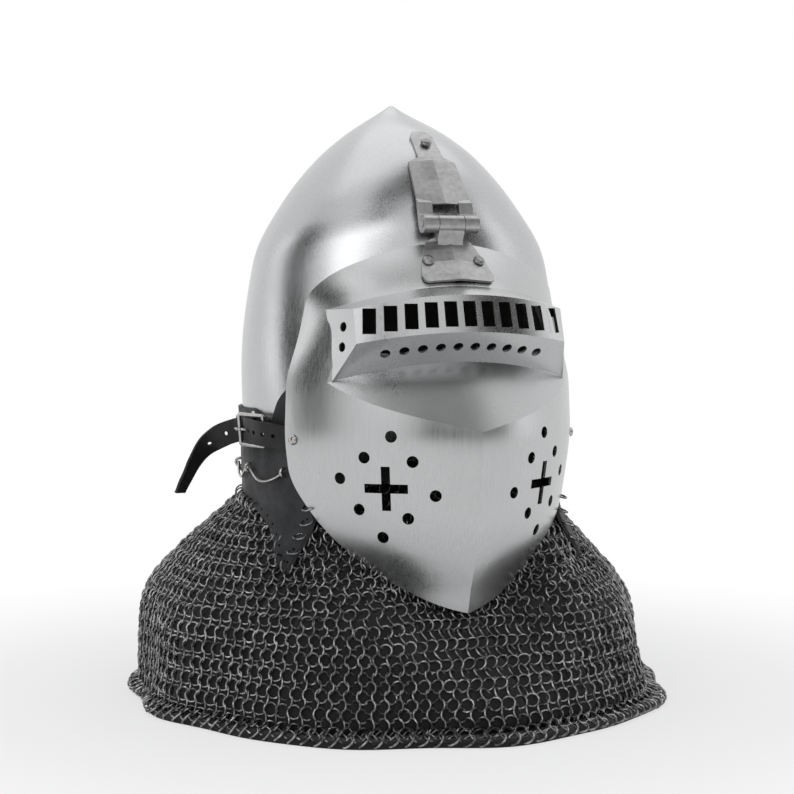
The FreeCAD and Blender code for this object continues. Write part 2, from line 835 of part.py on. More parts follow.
HOLED = [
    (-111.2, 68, 192.9),
    (-116.9, 61.5, 193.8),
    (-121.2, 54, 194.6),
    (-123.4, 45, 195.4),
    (-123.8, 36, 195.9),
    (-122.9, 29, 196.0),
    (-121.95, 23.6, 195.8),
    (-122.4, 17.5, 195.2),
]
holed = inner_run(-1)
for x, f, z in HOLED:
    holed.append((at(x, f, H - z), LEAN))
TAIL = [
    (-124.6, 11.5, 193.9, (0.0, -0.1, 1.0)),
    (-129.5, 6, 191.6, (-0.08, 0.05, 0.97)),
    (-134.2, 1.5, 188.6, (-0.22, 0.2, 0.9)),
    (-139.6, -2, 184.2, (-0.36, 0.38, 0.75)),
    (-143.9, -4.5, 179.3, (-0.46, 0.52, 0.6)),
    (-147.6, -6.2, 173.6, (-0.52, 0.62, 0.45)),
    (-151, -7.8, 167, (-0.57, 0.69, 0.3)),
    (-153.9, -9.3, 160.4, (-0.6, 0.73, 0.2)),
    (-156.7, -10.8, 154, (-0.62, 0.75, 0.1)),
    (-159, -12, 148.4, (-0.62, 0.76, 0.05)),
]
for x, f, z, (wx, wf, wz) in TAIL:
    holed.append((at(x, f, H - z), Vector(wx, -wf, wz)))
holed_strap = band(holed, sw, st)


def chord(stations, forward, span=3.0):
    """Point and crossing direction of a strap near a forward value."""
    for (a, wa), (b, wb) in zip(stations, stations[1:]):
        fa, fb = BACK - a.y, BACK - b.y
        if fa >= forward > fb:
            u = (fa - forward) / (fa - fb)
            run = (b - a).normalize()
            return a + (b - a) * u, run, run.cross(wa).normalize()
    return None


for f in (65.5, 58.5, 50.5, 42):
    p, run, normal = chord(holed, f)
    holed_strap = holed_strap.cut(Part.makeCylinder(1.5, 12, p - normal * 6, normal))
for k in (12, 14):
    p, w = holed[k]
    run = holed[k + 1][0] - holed[k - 1][0]
    normal = run.cross(w).normalize()
    holed_strap = holed_strap.cut(Part.makeCylinder(1.5, 12, p - normal * 6, normal))
# long hole that the prong comes up through
p, run, normal = chord(holed, 29.6)
slot = Part.makeBox(13.2, 4.4, 14, Vector(-6.6, -2.2, -7))
slot.Placement = Placement(p, Rotation(run, LEAN, normal, "XYZ"))
holed_strap = holed_strap.cut(slot)


def end_slot(side, shape):
    """Mouth that lets the strap slip off the stud toward the front."""
    spot, normal = stud_spots[side]
    way = Vector(0, -1, -0.14).normalize()
    mouth = Part.makeCylinder(2.6, 14, spot - normal * 12, normal)
    run = (way - normal * way.dot(normal)).normalize()
    cross = normal.cross(run)
    trough = Part.makeBox(24, 5.2, 14, Vector(0, -2.6, -12))
    trough.Placement = Placement(spot, Rotation(run, cross, normal, "XYZ"))
    return shape.cut(mouth).cut(trough)


holed_strap = end_slot(-1, holed_strap)

# buckle strap: from the left stud round the back to the fold on the front bar
cht = size("chape_thick")
cw = size("chape_width")
lie = cht / 2.0 + 0.5
chape = inner_run(1)
for a in (69, 77, 86, 96, 108, 120, 132, 144, 156, 168, 180, 192, 204, 216, 228, 240, 252, 261):
    z = 192.6 if a < 230 else 192.6 + 3.0 * (a - 228) / 33.0
    level_spot, away = collar_angle_spot(math.radians(a), z)
    spot, normal, lean = collar_frame(BACK - level_spot.y, z, 1 if a <= 180 else -1, lie)
    chape.append((spot, lean))
for f in (26, 36, 46):
    spot, normal, lean = collar_frame(f, BUCKLE_Z, -1, lie)
    chape.append((spot, lean))
bar_at = Vector(front_bar.x, front_bar.y, BUCKLE_Z)
out = collar_frame(52, BUCKLE_Z, -1)[1]
out = (out - LEAN * out.dot(LEAN)).normalize()
fore = out.cross(LEAN).normalize()
if fore.y > 0:
    fore = fore * -1
turn_radius = size("bar_dia") / 2.0 + 0.1 + cht / 2.0
chape.append((bar_at - out * turn_radius - fore * 1.5, LEAN))
chape.append((bar_at - out * turn_radius + fore * 0.2, LEAN))
back_layer = [
    (bar_at + out * turn_radius + fore * 0.2, LEAN),
    (bar_at + out * turn_radius - fore * 1.5, LEAN),
]
for f, lift in ((48.5, 1.6), (44.5, 0.35), (40.5, 0.12), (37, 0.12)):
    spot, normal, lean = collar_frame(f, BUCKLE_Z, -1, lie + cht + lift)
    back_layer.append((spot, lean))
low = bar_at - LEAN * (cw / 2.0)
fold = Part.makeCylinder(turn_radius + cht / 2.0, cw, low, LEAN)
fold = fold.cut(Part.makeCylinder(turn_radius - cht / 2.0, cw, low, LEAN))
half = Part.makeBox(20, 20, 40, Vector(0, -10, -20))
half.Placement = Placement(bar_at, Rotation(fore, out, LEAN, "ZXY"))
fold = fold.common(half)
buckle_strap = band(chape, cw, cht).fuse(fold).fuse(band(back_layer, cw, cht))
buckle_strap = end_slot(1, buckle_strap)
slit = Part.makeBox(24, 14, 5.2, Vector(-18.2, -7, -2.6))
slit.Placement = Placement(bar_at, Rotation(fore, out, LEAN, "ZXY"))
buckle_strap = buckle_strap.cut(slit)

# buckle frame
frame = doc.addObject("PartDesign::Body", "buckle_frame")
frame.Label = "buckle_frame"


def origin_plane(body, role):
    for feature in body.Origin.OriginFeatures:
        if feature.Role == role:
            return feature


def rectangle(sketch, name_x, name_y, grow):
    """Centred rectangle bound to two sheet sizes."""
    w, h = size(name_x) / 2 + grow, size(name_y) / 2 + grow
    corners = [(-w, -h), (w, -h), (w, h), (-w, h)]
    first = sketch.GeometryCount
    for i in range(4):
        a, b = corners[i], corners[(i + 1) % 4]
        sketch.addGeometry(Part.LineSegment(Vector(a[0], a[1], 0), Vector(b[0], b[1], 0)), False)
    for i in range(4):
        sketch.addConstraint(Sketcher.Constraint("Coincident", first + i, 2, first + (i + 1) % 4, 1))
    for i in (0, 2):
        sketch.addConstraint(Sketcher.Constraint("Horizontal", first + i))
    for i in (1, 3):
        sketch.addConstraint(Sketcher.Constraint("Vertical", first + i))
    sketch.addConstraint(Sketcher.Constraint("Symmetric", first, 1, first + 1, 2, -1, 1))
    sign = "+" if grow > 0 else "-"
    for line, name in ((first, name_x), (first + 1, name_y)):
        value = size(name) + 2 * grow
        index = sketch.addConstraint(
            Sketcher.Constraint("Distance", line, value)
        )
        sketch.setExpression("Constraints[%d]" % index, "Sizes.%s %s Sizes.bar_dia" % (name, sign))


outline = frame.newObject("Sketcher::SketchObject", "frame_outline")
outline.AttachmentSupport = [(origin_plane(frame, "XY_Plane"), "")]
outline.MapMode = "FlatFace"
half_bar = size("bar_dia") / 2
rectangle(outline, "frame_length", "frame_width", half_bar)
rectangle(outline, "frame_length", "frame_width", -half_bar)
pad = frame.newObject("PartDesign::Pad", "frame_pad")
pad.Profile = outline
pad.Midplane = True
pad.Length = size("bar_dia")
pad.setExpression("Length", "Sizes.bar_dia")
doc.recompute()
names = ["Edge%d" % (i + 1) for i, e in enumerate(pad.Shape.Edges)]
level_edges = []
for name, e in zip(names, pad.Shape.Edges):
    a, b = e.Vertexes[0].Point, e.Vertexes[-1].Point
    if abs(a.z - b.z) < 1e-6:
        level_edges.append(name)
corner_edges = [n for n in names if n not in level_edges]
outer_corners = []
for name, e in zip(names, pad.Shape.Edges):
    if name in corner_edges and abs(e.Vertexes[0].Point.x) > size("frame_length") / 2:
        outer_corners.append(name)
soft = frame.newObject("PartDesign::Fillet", "frame_corners")
soft.Base = (pad, outer_corners)
soft.Radius = 2.4
doc.recompute()
rounding = frame.newObject("PartDesign::Fillet", "frame_rounding")
flat = []
for i, e in enumerate(soft.Shape.Edges):
    low = min(v.Point.z for v in e.Vertexes)
    high = max(v.Point.z for v in e.Vertexes)
    if high - low < 1e-6:
        flat.append("Edge%d" % (i + 1))
rounding.Base = (soft, flat)
rounding.Radius = 1.0
doc.recompute()
middle = (front_bar + rear_bar) * 0.5
run = (front_bar - rear_bar).normalize()
frame.Placement = Placement(
    Vector(middle.x, middle.y, BUCKLE_Z), Rotation(run, LEAN, run.cross(LEAN), "XYZ")
)

# buckle prong
bar_radius = size("bar_dia") / 2
collar_ring = Part.makeCylinder(2.9, 4, bar_at - LEAN * 2, LEAN)
eye = Part.makeCylinder(bar_radius + 0.2, 4, bar_at - LEAN * 2, LEAN)
PRONG = [
    (-118.2, 52.4),
    (-119.6, 46.5),
    (-120.3, 40),
    (-120.6, 36),
    (-121.6, 31.8),
    (-124.4, 28.2),
    (-127.1, 25.5),
    (-127.45, 23.2),
    (-127.45, 21.2),
]
prong_line = curve_edge([at(x, f, H - BUCKLE_Z) for x, f in PRONG])
start = prong_line.valueAt(prong_line.FirstParameter)
heading = prong_line.tangentAt(prong_line.FirstParameter)
disc = Part.Wire(Part.makeCircle(size("prong_dia") / 2, start, heading))
rod = Part.Wire(prong_line).makePipeShell([disc], True, True)
prong_shape = collar_ring.fuse(rod).cut(eye)

# strap rivets beside the prong
strap_rivets = []
for dz in (-5.2, 5.2):
    spot, normal, lean = collar_frame(41, BUCKLE_Z, -1, 2 * cht + 0.6)
    spot = spot + lean * dz
    head = turned(
        [(0, -3.4), (1.2, -3.4), (1.2, 0), (2.4, 0), (2.1, 0.6), (1.2, 0.9), (0, 0.9)],
        spot,
        normal,
    )
    strap_rivets.append(head)
    drill = Part.makeCylinder(1.25, 14, spot - normal * 7, normal)
    buckle_strap = buckle_strap.cut(drill)

# mail aventail
# height, radius, middle forward
TENT = [
    (0, 183, 2),
    (12, 183, 0),
    (30, 181, -5),
    (50, 180, -6),
    (65, 177.5, -9),
    (80, 170.5, -13),
    (94, 158, -12),
    (108, 145, -9),
    (120, 134, -8),
    (135, 123.5, -7),
    (150, 113.5, -7),
    (170, 103, -7),
]
MID = 5.0


def cast(row, angle, grow):
    """Distance from the middle to a section along an angle."""
    mid, wide, front, rear = row
    low, high = 10.0, 300.0
    for step in range(40):
        rho = (low + high) / 2
        x, f = rho * math.sin(angle), MID + rho * math.cos(angle)
        reach = front if f > mid else rear
        if (x / (wide + grow)) ** 2 + ((f - mid) / (reach + grow)) ** 2 > 1:
            high = rho
        else:
            low = rho
    return low


LOBE_ROWS = sorted((f, H - d) for f, d in LOBE)


def mail_radius(angle, z):
    radius, mid = blend(TENT, z)
    k = MID - mid
    rho = -k * math.cos(angle) + math.sqrt(radius**2 - (k * math.sin(angle)) ** 2)
    loose = min(1.0, max(0.0, (112 - z) / 50.0))
    rho += loose * (3.0 * math.sin(9 * angle + 1.1) + 1.6 * math.sin(14 * angle + 2.0))
    ahead_part = max(0.0, math.cos(angle))
    belly = math.exp(-(((z - 20) / 26.0) ** 2))
    rho += 13 * ahead_part**2 * belly
    # stays inside the collar and runs out below its edge
    f = MID + cast(blend(COLLAR_ROWS, 300), angle, 0) * math.cos(angle)
    if f < 104:
        edge_z = blend(LOBE_ROWS, f)[0]
        row = blend(COLLAR_ROWS, H - max(z, edge_z))
        rho = min(rho, cast(row, angle, -2.6) + 1.2 * max(0.0, edge_z - 3 - z))
    # stays inside the visor and runs out below its edge
    low, high = 40.0, rho
    for step in range(30):
        test = (low + high) / 2
        x, f = abs(test * math.sin(angle)), MID + test * math.cos(angle)
        if x < 101:
            edge_z = 75 + 0.0078 * x * x
            limit = visor_forward(x, H - max(z, edge_z)) - 9 + 1.3 * max(0.0, edge_z - z)
            if f > limit:
                high = test
                continue
        low = test
    return low


def mail_ring(z, grow=0.0, at_z=None, count=56):
    raw = [mail_radius(2 * math.pi * i / count, z) for i in range(count)]
    pts = []
    for i in range(count):
        rho = (raw[i - 1] + 2 * raw[i] + raw[(i + 1) % count]) / 4 + grow
        a = 2 * math.pi * i / count
        pts.append(at(rho * math.sin(a), MID + rho * math.cos(a), H - (z if at_z is None else at_z)))
    return ring(pts)


def lean_of(z):
    """Level thickness factor on the slope of the mail."""
    upper, lower = blend(TENT, min(z + 4, 170))[0], blend(TENT, max(z - 4, 0))[0]
    slope = (upper - lower) / 8.0
    return math.sqrt(1 + slope * slope)


mt = size("mail_thick")
MAIL_Z = [12, 22, 32, 43, 54, 64, 73, 82, 91, 100, 109, 118, 128, 138, 149, 160, 170]
mail_out = loft([mail_ring(2, 0, 0), mail_ring(5)] + [mail_ring(z) for z in MAIL_Z])
inner_rings = [mail_ring(2, -mt, -2), mail_ring(5, -mt)]
inner_rings += [mail_ring(z, -mt * lean_of(z)) for z in MAIL_Z[:-1]]
inner_rings.append(mail_ring(170, -mt, 173))
mail_in = loft(inner_rings)


def hem_ring(z, grow):
    count = 56
    pts = []
    for i in range(count):
        a = 2 * math.pi * i / count
        rho = mail_radius(a, 4) + grow + 9 * max(0.0, math.cos(a))
        pts.append(at(rho * math.sin(a), MID + rho * math.cos(a), H - z))
    return ring(pts)


ht = size("hem_thick")
hem = loft([hem_ring(0, 8), hem_ring(ht - 1.5, 8.3), hem_ring(ht, 6.5)], True)
mail_shape = mail_out.fuse(hem).cut(mail_in)
mail_trim = side_prism(
    side_curve(level([(-230, 154), (-110, 153), (-25, 152), (30, 150.5), (60, 150.5), (80, 154), (95, 161), (115, 165)]))
    + side_line(level([(115, 165), (240, 165), (240, -5), (-230, -5), (-230, 154)])),
    260,
)
mail_shape = mail_shape.common(mail_trim)

# nodes
add("skull", one_solid(skull_shape))
add("visor_plate", one_solid(visor_shape))
add("sight_box", one_solid(box_shape))
add("hinge_crown_leaf", one_solid(crown_leaf))
add("hinge_visor_leaf", one_solid(visor_leaf))
add("crown_rivet", Part.makeCompound([crown_rivet]))
add("hinge_rivets", Part.makeCompound(hinge_rivets))
add("visor_studs", Part.makeCompound(studs))
add("leather_collar", one_solid(collar_shape))
add("collar_rivets", Part.makeCompound(collar_rivets))
add("lacing_staples", Part.makeCompound(staples))
add("lacing_wire", lace_shape)
add("padded_lining", one_solid(liner_shape))
add("holed_strap", one_solid(holed_strap))
add("buckle_strap", one_solid(buckle_strap))
add("strap_rivets", Part.makeCompound(strap_rivets))
add("buckle_prong", one_solid(prong_shape))
add("mail_aventail", one_solid(mail_shape))

pin = doc.addObject("Part::Cylinder", "hinge_pin")
pin.Label = "hinge_pin"
pin.setExpression("Radius", "Sizes.pin_dia / 2")
pin.setExpression("Height", "Sizes.pin_length")
pin.Placement = Placement(
    at(-size("pin_length") / 2, axle_f, axle_d), Rotation(Vector(0, 0, 1), Vector(1, 0, 0))
)
doc.recompute()

NODES = [
    "skull",
    "visor_plate",
    "sight_box",
    "hinge_crown_leaf",
    "hinge_visor_leaf",
    "hinge_pin",
    "crown_rivet",
    "hinge_rivets",
    "visor_studs",
    "leather_collar",
    "collar_rivets",
    "lacing_staples",
    "lacing_wire",
    "padded_lining",
    "holed_strap",
    "buckle_strap",
    "strap_rivets",
    "buckle_frame",
    "buckle_prong",
    "mail_aventail",
]
for item in doc.Objects:
    if "Invalid" in item.State or "Error" in item.State:
        raise RuntimeError("not computed: " + item.Label)
os.makedirs("parts", exist_ok=True)
for name in NODES:
    shape = doc.getObjectsByLabel(name)[0].Shape
    if shape.isNull() or not shape.isValid():
        raise RuntimeError("not a valid shape: " + name)
    shape.exportStep("parts/%s.step" % name)
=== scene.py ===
import json
import math

import bpy
import numpy as np
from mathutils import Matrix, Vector
from mathutils.bvhtree import BVHTree


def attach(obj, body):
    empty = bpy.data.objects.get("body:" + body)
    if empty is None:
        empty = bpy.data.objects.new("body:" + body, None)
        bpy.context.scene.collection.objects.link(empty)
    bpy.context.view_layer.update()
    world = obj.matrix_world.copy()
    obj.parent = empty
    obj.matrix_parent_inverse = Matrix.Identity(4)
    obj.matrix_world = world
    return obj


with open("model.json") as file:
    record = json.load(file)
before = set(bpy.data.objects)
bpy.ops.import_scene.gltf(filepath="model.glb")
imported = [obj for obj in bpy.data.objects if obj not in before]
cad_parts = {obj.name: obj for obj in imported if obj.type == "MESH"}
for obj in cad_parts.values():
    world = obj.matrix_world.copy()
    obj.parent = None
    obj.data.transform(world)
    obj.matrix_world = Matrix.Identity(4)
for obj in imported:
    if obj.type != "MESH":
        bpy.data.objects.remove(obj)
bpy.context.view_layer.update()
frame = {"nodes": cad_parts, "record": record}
nodes = frame["nodes"]
rng = np.random.default_rng(7)

# metres in the frame: x to the wearer's left, y to the back, z up from the table
APEX_Y = 0.0125
MAIL_Y = APEX_Y - 0.005
RING_RADIUS = 0.0046
WIRE_RADIUS = 0.0008
RING_LEAN = 36
ROW_STEP = 0.0056
LOWEST_ROW = 0.0065
MAIL_TOP = 0.166
LOWEST_RING = 0.0034
HEM_REACHES = (0.0035, 0.0078, 0.0112)
HEM_RINGS = 132
RINGS_PER_PIECE = 1900
FAR = 0.3


def tree_of(name):
    """Search tree of a node's own mesh, in the row frame."""
    piece = nodes[name]
    place = np.array(piece.matrix_world)
    count = len(piece.data.vertices)
    spots = np.empty(count * 3)
    piece.data.vertices.foreach_get("co", spots)
    spots = spots.reshape(count, 3) @ place[:3, :3].T + place[:3, 3]
    faces = [tuple(face.vertices) for face in piece.data.polygons]
    return BVHTree.FromPolygons([Vector(p) for p in spots], faces)


def mesh_piece(name, points, faces):
    """A mesh object at the origin from arrays of points and quads, shaded smooth."""
    mesh = bpy.data.meshes.new(name)
    mesh.from_pydata(np.asarray(points).tolist(), [], np.asarray(faces).tolist())
    mesh.polygons.foreach_set("use_smooth", np.ones(len(mesh.polygons), dtype=bool))
    mesh.update()
    piece = bpy.data.objects.new(name, mesh)
    bpy.context.scene.collection.objects.link(piece)
    return piece


# finishes

REMAP_ENDS = ("From Min", "From Max", "To Min", "To Max")


class Finish:
    """A node material with short calls for its parts."""

    def __init__(self, name, colour, rough, metal=0.0, **sockets):
        self.mat = bpy.data.materials.new(name)
        self.mat.use_nodes = True
        self.nodes = self.mat.node_tree.nodes
        self.links = self.mat.node_tree.links
        self.shader = self.nodes["Principled BSDF"]
        self.shader.inputs["Base Color"].default_value = (*colour, 1)
        self.shader.inputs["Roughness"].default_value = rough
        self.shader.inputs["Metallic"].default_value = metal
        for key, value in sockets.items():
            self.shader.inputs[key.replace("_", " ")].default_value = value
        self.place = self.nodes.new("ShaderNodeTexCoord")

    def spread(self, scale):
        """Object coordinates stretched by a scale for each axis."""
        node = self.nodes.new("ShaderNodeMapping")
        node.inputs["Scale"].default_value = scale
        self.links.new(self.place.outputs["Object"], node.inputs["Vector"])
        return node.outputs["Vector"]

    def noise(self, scale, detail=4.0, rough=0.55, stretch=(1, 1, 1)):
        node = self.nodes.new("ShaderNodeTexNoise")
        node.inputs["Scale"].default_value = scale
        node.inputs["Detail"].default_value = detail
        node.inputs["Roughness"].default_value = rough
        self.links.new(self.spread(stretch), node.inputs["Vector"])
        return node.outputs["Fac"]

    def cells(self, scale, feature="F1"):
        node = self.nodes.new("ShaderNodeTexVoronoi")
        node.feature = feature
        node.inputs["Scale"].default_value = scale
        self.links.new(self.place.outputs["Object"], node.inputs["Vector"])
        return node.outputs["Distance"]

    def span(self, value, low, high, out_low=0.0, out_high=1.0):
        """Straight-line remap of a value, held inside its ends."""
        node = self.nodes.new("ShaderNodeMapRange")
        for key, number in zip(REMAP_ENDS, (low, high, out_low, out_high)):
            node.inputs[key].default_value = number
        self.links.new(value, node.inputs["Value"])
        return node.outputs["Result"]

    def math(self, kind, a, b):
        node = self.nodes.new("ShaderNodeMath")
        node.operation = kind
        for slot, value in zip(node.inputs, (a, b)):
            if isinstance(value, (int, float)):
                slot.default_value = value
            else:
                self.links.new(value, slot)
        return node.outputs[0]

    def tones(self, value, stops):
        """Colour from a value through (place, colour) stops."""
        node = self.nodes.new("ShaderNodeValToRGB")
        ramp = node.color_ramp
        while len(ramp.elements) < len(stops):
            ramp.elements.new(0.5)
        for element, (spot, colour) in zip(ramp.elements, stops):
            element.position = spot
            element.color = (*colour, 1)
        self.links.new(value, node.inputs["Fac"])
        return node.outputs["Color"]

    def bump(self, height, depth, strength=1.0, below=None):
        node = self.nodes.new("ShaderNodeBump")
        node.inputs["Distance"].default_value = depth
        node.inputs["Strength"].default_value = strength
        self.links.new(height, node.inputs["Height"])
        if below is not None:
            self.links.new(below, node.inputs["Normal"])
        return node.outputs["Normal"]

    def set(self, socket, value):
        self.links.new(value, self.shader.inputs[socket])


def brushed_plate(name, colour, rough, grain):
    """Plate steel: upright brushing, broad polishing swirls and fine scratches."""
    steel = Finish(name, colour, rough, 1.0, Anisotropic=0.35)
    brush = steel.noise(1.0, 3.0, 0.6, (900, 900, 14))
    broad = steel.noise(18.0, 3.0, 0.5)
    streaks = steel.span(brush, 0.3, 0.7, -grain, grain)
    mix = steel.math("ADD", streaks, steel.span(broad, 0.3, 0.7, -0.035, 0.045))
    steel.set("Roughness", steel.math("ADD", mix, rough))
    dark = [c * 0.9 for c in colour]
    steel.set("Base Color", steel.tones(brush, [(0.3, dark), (0.7, colour)]))
    pits = steel.span(steel.cells(260.0), 0.0, 0.09, 0.0, 1.0)
    fine = steel.bump(brush, 0.00002, 0.12)
    wave = steel.bump(steel.noise(20.0, 1.0), 0.0009, 0.14, fine)
    steel.set("Normal", steel.bump(pits, 0.00003, 0.08, wave))
    return steel.mat


def small_metal(name, colour, rough, hammer):
    """Forged fittings: soft dents, darker hollows and a little grime."""
    metal = Finish(name, colour, rough, 1.0)
    dent = metal.noise(260.0, 3.0)
    metal.set("Base Color", metal.tones(dent, [(0.32, [c * 0.8 for c in colour]), (0.62, colour)]))
    metal.set("Roughness", metal.span(metal.noise(700.0, 4.0), 0.3, 0.7, rough - 0.07, rough + 0.1))
    metal.set("Normal", metal.bump(dent, hammer))
    return metal.mat


def leather(name, colour, rough, grain=900.0):
    """Dyed leather: pebbled grain, creases and paler rubbed places."""
    hide = Finish(name, colour, rough, 0.0, Specular_IOR_Level=0.35)
    pebble = hide.cells(grain, "SMOOTH_F1")
    rub = hide.noise(45.0, 5.0, 0.65)
    pale = [c * 2.3 + 0.006 for c in colour]
    hide.set("Base Color", hide.tones(rub, [(0.36, colour), (0.72, pale)]))
    hide.set("Roughness", hide.span(rub, 0.35, 0.7, rough + 0.08, rough - 0.12))
    crease = hide.bump(hide.noise(120.0, 4.0), 0.0004, 0.35)
    hide.set("Normal", hide.bump(pebble, 0.00016, 0.5, crease))
    return hide.mat


def quilt_cloth(name, colour):
    """Dull woven cloth with soft fading, sewn in upright channels round the head."""
    cloth = Finish(name, colour, 0.92, 0.0, Sheen_Weight=0.15)
    fade = cloth.noise(30.0, 4.0)
    worn = [c * 0.75 for c in colour]
    fresh = [c * 1.3 for c in colour]
    cloth.set("Base Color", cloth.tones(fade, [(0.35, worn), (0.7, fresh)]))
    weave = cloth.noise(1.0, 1.0, 0.5, (1500, 1500, 900))
    around = cloth.nodes.new("ShaderNodeTexGradient")
    around.gradient_type = "RADIAL"
    cloth.links.new(cloth.place.outputs["Object"], around.inputs["Vector"])
    channel = cloth.math("PINGPONG", cloth.math("MULTIPLY", around.outputs["Fac"], 34.0), 0.5)
    puff = cloth.math("POWER", cloth.math("MULTIPLY", channel, 2.0), 0.5)
    quilt = cloth.bump(puff, 0.004, 0.8)
    cloth.set("Normal", cloth.bump(weave, 0.0003, 0.6, quilt))
    return cloth.mat


def ring_metal(name):
    """Blackened rings: dark scale with grey metal rubbed bright in places."""
    black = Finish(name, (0.11, 0.11, 0.115), 0.4, 1.0)
    rubbed = black.noise(240.0, 3.0)
    scale, grey, bright = (0.06, 0.06, 0.064), (0.2, 0.2, 0.205), (0.48, 0.48, 0.475)
    black.set("Base Color", black.tones(rubbed, [(0.34, scale), (0.48, grey), (0.66, bright)]))
    black.set("Roughness", black.span(rubbed, 0.3, 0.7, 0.46, 0.28))
    black.set("Normal", black.bump(black.noise(900.0, 3.0), 0.0001, 0.4))
    return black.mat


FINISHES = {
    "skull_steel": brushed_plate("skull_steel", (0.52, 0.525, 0.535), 0.27, 0.03),
    "visor_steel": brushed_plate("visor_steel", (0.52, 0.525, 0.53), 0.29, 0.03),
    "hinge_steel": small_metal("hinge_steel", (0.42, 0.42, 0.42), 0.34, 0.00002),
    "rivet_steel": small_metal("rivet_steel", (0.3, 0.3, 0.3), 0.36, 0.00012),
    "bright_fittings": small_metal("bright_fittings", (0.5, 0.49, 0.48), 0.22, 0.00012),
    "collar_leather": leather("collar_leather", (0.012, 0.0125, 0.014), 0.6),
    "strap_leather": leather("strap_leather", (0.007, 0.0073, 0.008), 0.48),
    "lining_cloth": quilt_cloth("lining_cloth", (0.09, 0.083, 0.075)),
    "mail_steel": ring_metal("mail_steel"),
    # near-black cloth for the mail's solid: painted shade standing in for the hollow behind the
    # rings
    "painted_shade_behind_rings": quilt_cloth("painted_shade_behind_rings", (0.006, 0.006, 0.0065)),
}
SLOT_OF = {part["node"]: part["material_slot"] for part in frame["record"]["subparts"]}
# the mail's own solid is painted near black: painted shade for the dark hollow seen behind the
# rings
for name, piece in nodes.items():
    look = "painted_shade_behind_rings" if name == "mail_aventail" else SLOT_OF[name]
    piece.data.materials.clear()
    piece.data.materials.append(FINISHES[look])


# mail rings


def outer_face(tree, angle, height):
    """Where a level ray from outside meets the mail, and its outward direction."""
    way = Vector((math.sin(angle), -math.cos(angle), 0.0))
    middle = Vector((0, MAIL_Y, height))
    hit, normal, _, _ = tree.ray_cast(middle + way * FAR, -way, 0.26)
    if hit is None:
        return None
    if normal.dot(way) < 0:
        normal = -normal
    return hit, normal


def ring_shape(major, minor, around=12, across=4):
    """Torus: a circle of the wire's radius carried round a circle of the ring's radius."""
    u = np.linspace(0, 2 * math.pi, around, endpoint=False)[:, None]
    v = np.linspace(0, 2 * math.pi, across, endpoint=False)[None, :] + math.pi / 4
    reach = major + minor * np.cos(v)
    points = np.stack([reach * np.cos(u), reach * np.sin(u), minor * np.sin(v) + 0 * u], axis=-1)
    i, j = np.meshgrid(np.arange(around), np.arange(across), indexing="ij")
    k, m = (i + 1) % around, (j + 1) % across
    faces = np.stack([i * across + j, k * across + j, k * across + m, i * across + m], axis=-1)
    return points.reshape(-1, 3), faces.reshape(-1, 4)


def ring_field(name, places):
    """Copies of one ring at many (spot, normal, up, tilt) places, as one mesh."""
    points, faces = ring_shape(RING_RADIUS, WIRE_RADIUS)
    spots = np.array([p[0] for p in places])
    out = np.array([p[1] for p in places])
    up = np.array([p[2] for p in places])
    tilt = np.array([p[3] for p in places])[:, None]
    side = np.cross(up, out)
    side /= np.linalg.norm(side, axis=1, keepdims=True)
    up = np.cross(out, side)
    # the ring's plane turns about its upright by the tilt
    across = side * np.cos(tilt) + out * np.sin(tilt)
    through = out * np.cos(tilt) - side * np.sin(tilt)
    basis = np.stack([across, up, through], axis=1)
    cloud = np.einsum("pk,nkc->npc", points, basis) + spots[:, None, :]
    count = len(points)
    quads = faces[None, :, :] + (np.arange(len(places)) * count)[:, None, None]
    return mesh_piece(name, cloud.reshape(-1, 3), quads.reshape(-1, 4))


def row_heights(tree):
    """Heights of the rows, closer together where the mail lies flatter."""
    rows = []
    height = LOWEST_ROW
    turns = np.linspace(0, 2 * math.pi, 24, endpoint=False)
    while height < MAIL_TOP:
        near = [outer_face(tree, turn, height) for turn in turns]
        lean = [abs(hit[1].z) for hit in near if hit]
        rows.append(height)
        slope = math.sqrt(max(0.15, 1 - float(np.mean(lean)) ** 2)) if lean else 1.0
        height += ROW_STEP * slope
    return rows


def rings_in_row(height):
    """Fewer rings to a row toward the neck."""
    for top, count in ((0.075, 128), (0.1, 116), (0.125, 104)):
        if height < top:
            return count
    return 92


def mail_places():
    """Rows of rings down the mail, then out over the table, then through the leather."""
    tree = tree_of("mail_aventail")
    places = []
    for k, height in enumerate(row_heights(tree)):
        count = rings_in_row(height)
        for i in range(count):
            angle = 2 * math.pi * (i + 0.5 * (k % 2)) / count
            found = outer_face(tree, angle, height)
            if found is None:
                continue
            hit, normal = found
            reach = math.hypot(hit.x, hit.y - MAIL_Y)
            if reach < 0.06 or abs(normal.z) > 0.97:
                continue
            ring_place(places, hit, normal, Vector((0, 0, 1)), k)
    base = Vector((0, MAIL_Y, 0))
    for k, out in enumerate(HEM_REACHES):
        for i in range(HEM_RINGS):
            angle = 2 * math.pi * (i + 0.5 * (k % 2)) / HEM_RINGS
            wall = outer_face(tree, angle, 0.0075)
            edge = outer_face(tree, angle, 0.0015)
            if wall is None or edge is None:
                continue
            way = Vector((math.sin(angle), -math.cos(angle), 0))
            inner = (wall[0] - base).dot(way)
            outer = (edge[0] - base).dot(way)
            part = out / HEM_REACHES[-1]
            spot = base + way * (inner + (outer - 0.001 - inner) * part)
            spot.z = 0.0074 - 0.0028 * part
            ring_place(places, spot, Vector((0, 0, 1)) + way * 0.3, -way, k + 1, 0.0)
    places += collar_links()
    return places


# holes along the collar's lower edge and its front edge: forward of the apex and up, in mm
LOWER_HOLES = [
    (86, 108.5),
    (80.5, 112),
    (74.5, 118.5),
    (67.5, 125.5),
    (59, 131.5),
    (50, 136.5),
    (41, 140),
    (31, 142.5),
    (21, 144.5),
    (11, 145.5),
    (1, 146.5),
    (-9, 147.5),
    (-19, 148.5),
    (-29, 149.5),
]
FRONT_HOLES = [(86.3, height) for height in (117, 127, 137, 147)]


